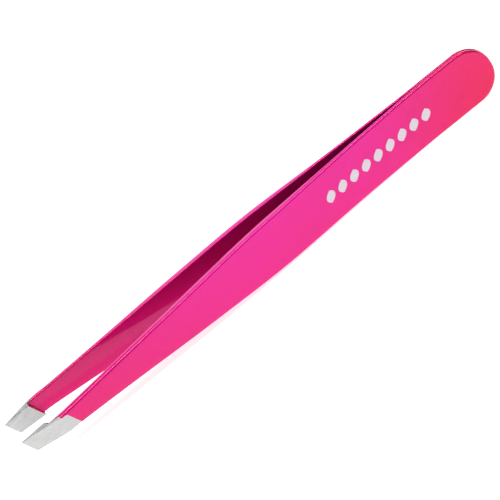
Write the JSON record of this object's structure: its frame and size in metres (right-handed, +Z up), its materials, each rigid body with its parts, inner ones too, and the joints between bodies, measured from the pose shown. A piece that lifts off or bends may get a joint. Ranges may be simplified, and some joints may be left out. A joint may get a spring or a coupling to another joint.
{
  "type": "slant tweezers",
  "caption": "Slant-tipped tweezers: two enamelled spring-steel arms welded together at a round heel, with bare ground tips that close on flat lands.",
  "frame": {"origin": "centre of the bounding box in X and Y, on the level of the lowest edge of the heel", "axes": "+X from the tips to the round heel, +Y from the front arm to the back arm, +Z up across the width of the arms, so the tweezers stand on their narrow lower edges"},
  "size_m": [0.095, 0.0098, 0.0099],
  "materials": {
    "enamel": "glossy metallic pink enamel on steel",
    "bare_steel": "fine ground stainless steel",
    "weld": "fused steel, hidden in the seam",
    "print": "satin silver-white ink line motif"
  },
  "bodies": {
    "heel": {"front_heel_leaf": "enamel", "back_heel_leaf": "enamel", "heel_weld_1": "weld", "heel_weld_2": "weld"},
    "front_arm": {"front_grip": "enamel", "front_tip": "bare_steel"},
    "back_arm": {"back_grip": "enamel", "back_tip": "bare_steel"}
  },
  "joints": [
    {"name": "front_arm_squeeze", "type": "hinge", "parent": "heel", "child": "front_arm", "pos_m": [0.022, -0.001, 0.00494], "axis": [0, 0, -1], "range_deg": [0, 2.64], "stiffness_Nm_per_rad": 1.3},
    {"name": "back_arm_squeeze", "type": "hinge", "parent": "heel", "child": "back_arm", "pos_m": [0.022, 0.001, 0.00494], "axis": [0, 0, 1], "range_deg": [0, 2.64], "stiffness_Nm_per_rad": 1.3}
  ],
  "couplings": [
    {"joint": "back_arm_squeeze", "follows": "front_arm_squeeze", "ratio": 1}
  ]
}
